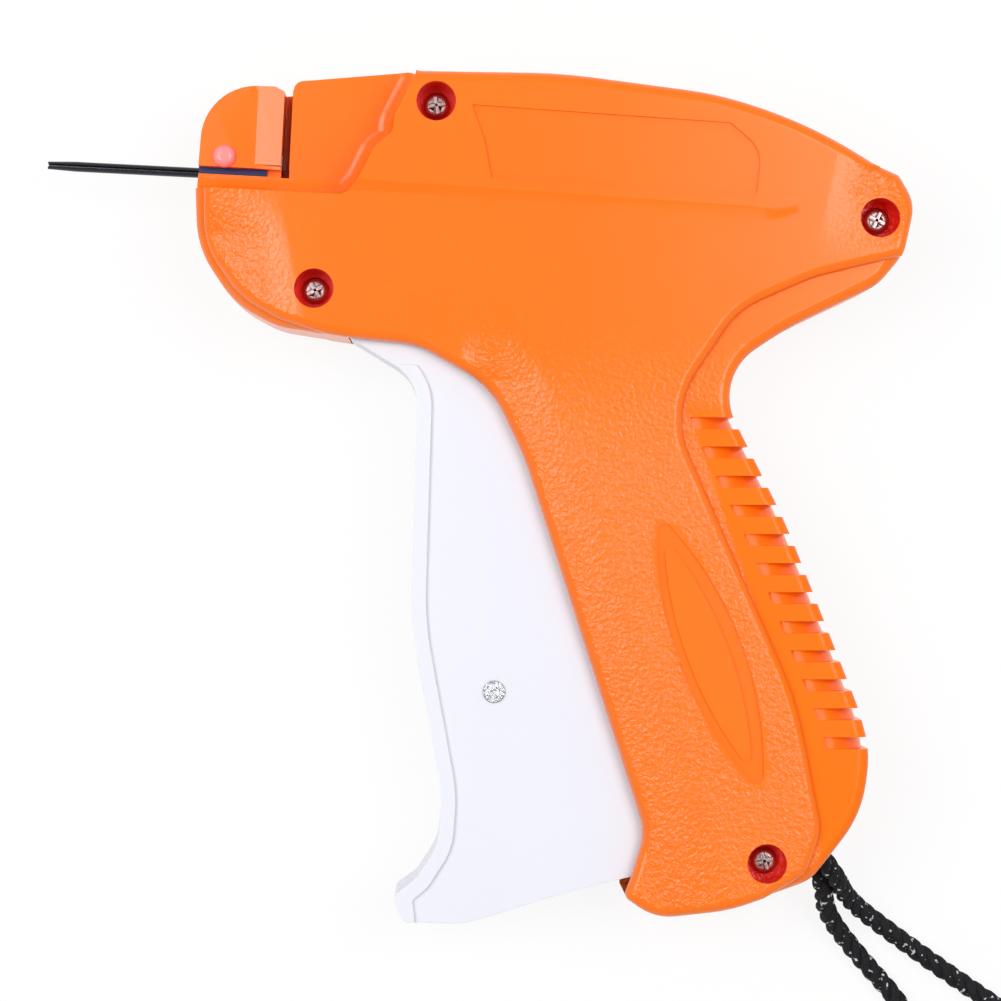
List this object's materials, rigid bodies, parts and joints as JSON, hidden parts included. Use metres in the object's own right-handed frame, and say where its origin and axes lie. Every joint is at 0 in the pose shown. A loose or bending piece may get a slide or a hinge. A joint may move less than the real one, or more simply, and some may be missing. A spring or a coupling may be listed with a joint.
{
  "type": "garment tag attacher",
  "caption": "Hand-held tag attacher: orange two-part shell, white trigger hinged under the nose, hollow needle, plunger drive, ratchet feed and a black wrist strap",
  "frame": {"origin": "on the trigger's pivot axis, in the plane that the tool lies on", "axes": "+X runs back from the needle towards the tail, +Y is the top of the tool, +Z is its left side, which faces up as it lies"},
  "size_m": [0.2076, 0.2067, 0.026],
  "materials": {
    "orange_shell": "moulded orange plastic, fine grain on the raised sides, smoother on the rolled back",
    "trigger_plastic": "moulded white plastic, satin",
    "hub_plastic": "navy moulded plastic",
    "inner_plastic": "self-coloured acetal, as moulded",
    "needle_steel": "ground stainless steel",
    "pin_steel": "drawn steel",
    "screw_zinc": "bright zinc plate",
    "spring_steel": "spring wire",
    "strap_nylon": "black braided nylon"
  },
  "bodies": {
    "housing": {"left_housing": "orange_shell", "right_housing": "orange_shell", "housing_screws": "screw_zinc", "trigger_pivot_pin": "pin_steel", "lever_pivot_pin": "pin_steel", "rod_guide": "inner_plastic", "return_spring": "spring_steel", "feed_shaft": "pin_steel", "needle": "needle_steel", "needle_hub": "hub_plastic", "cutter_blade": "spring_steel", "click_spring": "spring_steel", "wrist_strap": "strap_nylon", "strap_anchor": "inner_plastic"},
    "trigger": {"trigger": "trigger_plastic", "trigger_rivet": "pin_steel"},
    "link": {"link_plates": "pin_steel"},
    "lever": {"drive_lever": "inner_plastic", "link_pin": "pin_steel"},
    "slider": {"slider": "inner_plastic", "slider_pin": "pin_steel", "plunger_rod": "needle_steel"},
    "feed_wheel": {"feed_wheel": "inner_plastic"},
    "feed_rocker": {"feed_rocker": "pin_steel", "rocker_pin": "pin_steel", "feed_pawl": "pin_steel"},
    "needle_lock": {"needle_lock_shaft": "orange_shell", "needle_lock_lever": "orange_shell"}
  },
  "joints": [
    {"name": "trigger_pull", "type": "hinge", "parent": "housing", "child": "trigger", "pos_m": [0, 0, 0.0125], "axis": [0, 0, 1], "range_deg": [0, 14], "stiffness_Nm_per_rad": 3, "springref_deg": -4.58},
    {"name": "link_swing", "type": "hinge", "parent": "trigger", "child": "link", "pos_m": [0.01874, -0.073, 0.0125], "axis": [0, 0, 1], "range_deg": [-24.5, 0]},
    {"name": "lever_swing", "type": "hinge", "parent": "housing", "child": "lever", "pos_m": [0.056, -0.053, 0.0125], "axis": [0, 0, 1], "range_deg": [0, 34]},
    {"name": "slider_stroke", "type": "slide", "parent": "housing", "child": "slider", "axis": [-1, 0, 0], "range_m": [0, 0.0402], "deforming": ["return_spring"]},
    {"name": "rocker_swing", "type": "hinge", "parent": "housing", "child": "feed_rocker", "pos_m": [-0.0168, 0.004, 0.0125], "axis": [0, 0, 1], "range_deg": [-30.5, 0]},
    {"name": "feed_wheel_turn", "type": "hinge", "parent": "housing", "child": "feed_wheel", "pos_m": [-0.0168, 0.004, 0.0125], "axis": [0, 0, 1], "continuous": true},
    {"name": "needle_lock_turn", "type": "hinge", "parent": "housing", "child": "needle_lock", "pos_m": [-0.0312, 0.01475, 0.0125], "axis": [0, 0, 1], "range_deg": [0, 90]}
  ],
  "couplings": [
    {"joint": "link_swing", "follows": "trigger_pull", "ratio": -1.6776},
    {"joint": "lever_swing", "follows": "trigger_pull", "ratio": 2.3877},
    {"joint": "slider_stroke", "follows": "trigger_pull", "m_per_rad": 0.1637},
    {"joint": "rocker_swing", "follows": "trigger_pull", "ratio": -2.1429}
  ]
}
